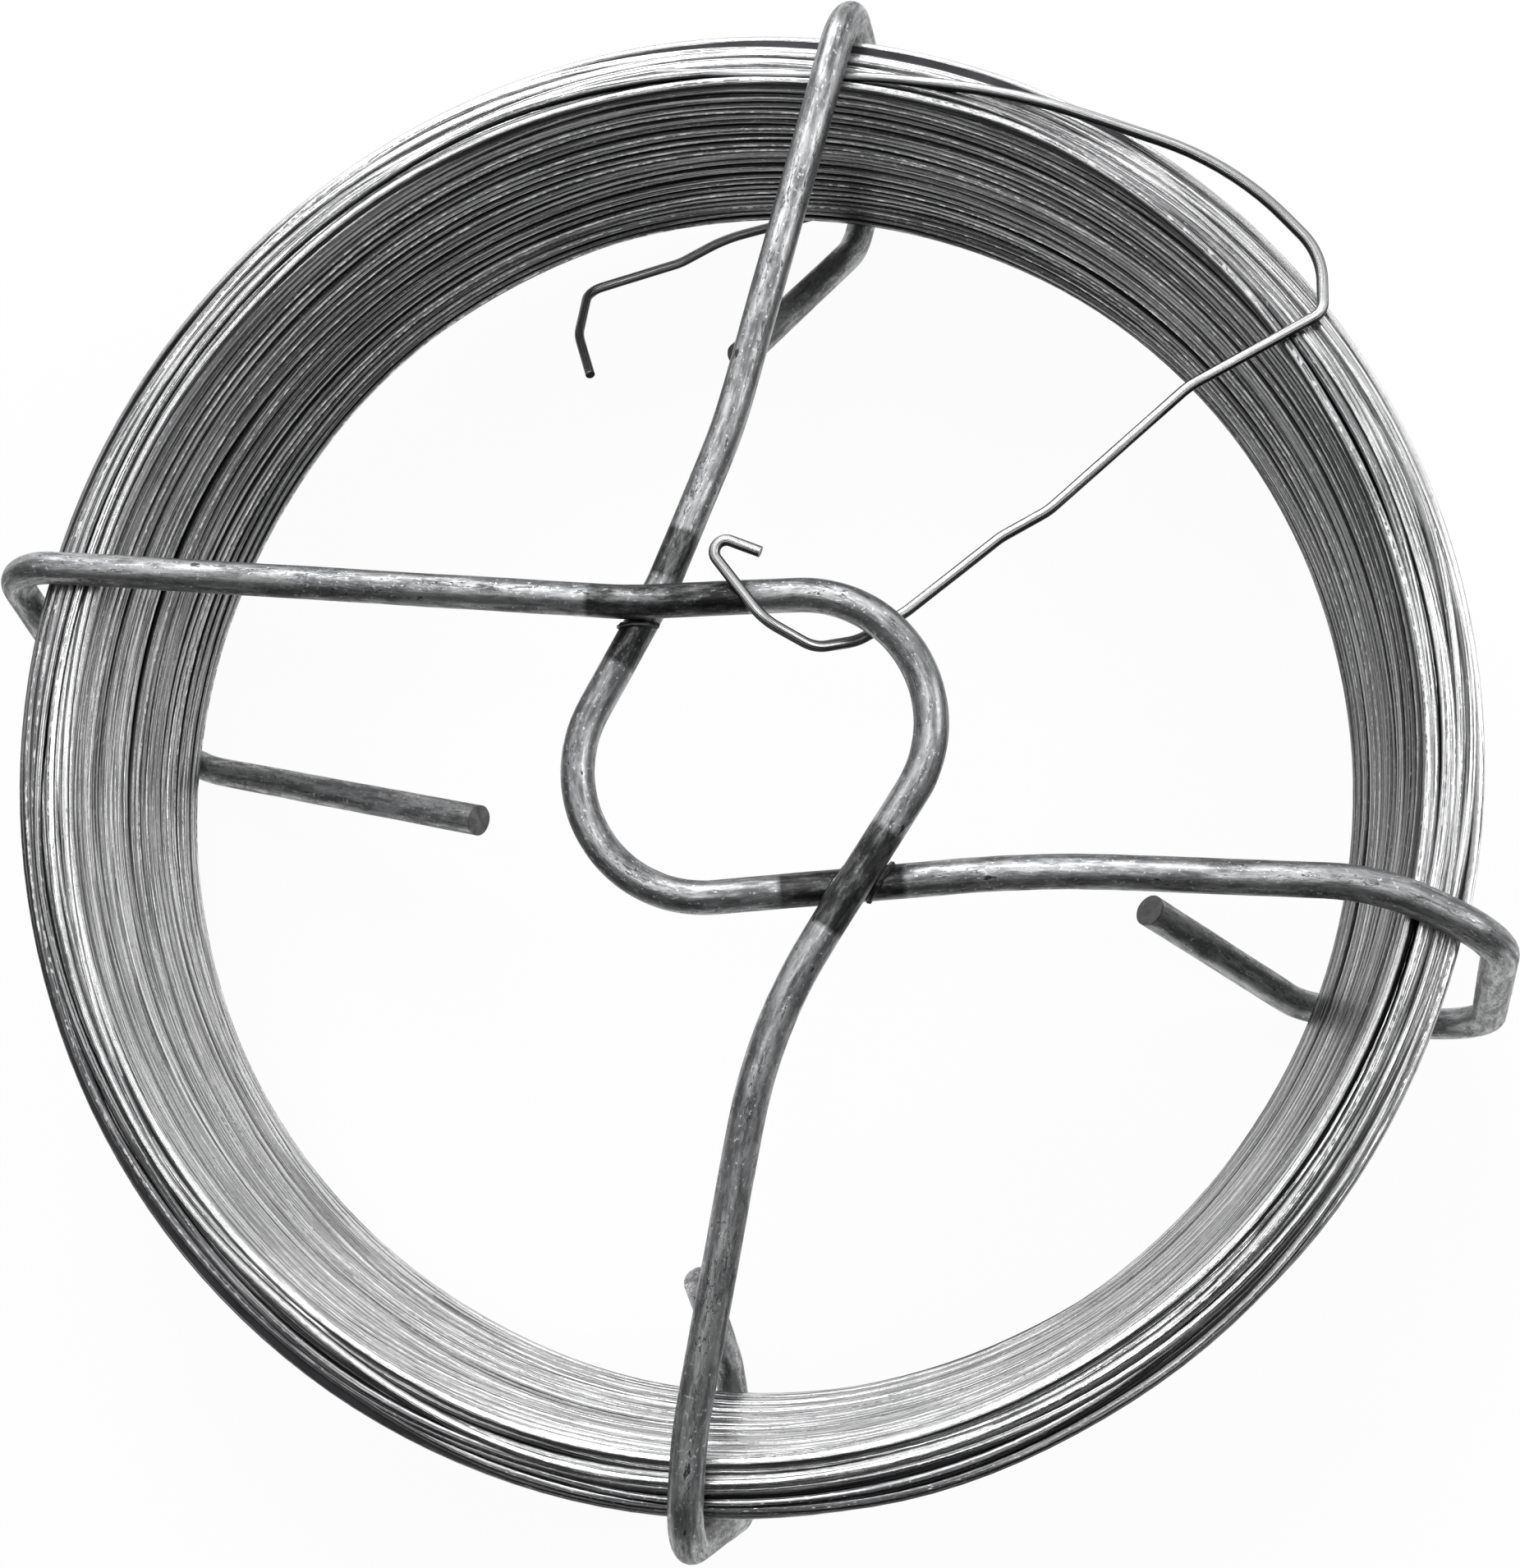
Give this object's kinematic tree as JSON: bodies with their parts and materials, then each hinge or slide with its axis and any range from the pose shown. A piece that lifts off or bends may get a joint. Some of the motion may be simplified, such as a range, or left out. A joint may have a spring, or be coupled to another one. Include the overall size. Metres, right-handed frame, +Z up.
{
  "type": "coil of galvanized wire",
  "caption": "Short wide coil of thin galvanized wire held in a welded cross of two heavier bent wires, with both loose ends of the thin wire showing.",
  "frame": {"origin": "on the floor, on the axis of the coil, in the middle between opposite hooks", "axes": "+Z up along the axis of the coil, +X to the right hook and +Y to the top hook"},
  "size_m": [0.1272, 0.1282, 0.0327],
  "materials": {
    "thin_wire": "bright zinc with drawing marks along the wire",
    "heavy_wire": "dull grey drawn steel with dark streaks, heat-tinted at the welds"
  },
  "bodies": {
    "root": {"coil": "thin_wire", "cross_wire_upper": "heavy_wire", "cross_wire_lower": "heavy_wire", "outer_end": "thin_wire", "inner_end": "thin_wire"}
  },
  "joints": []
}
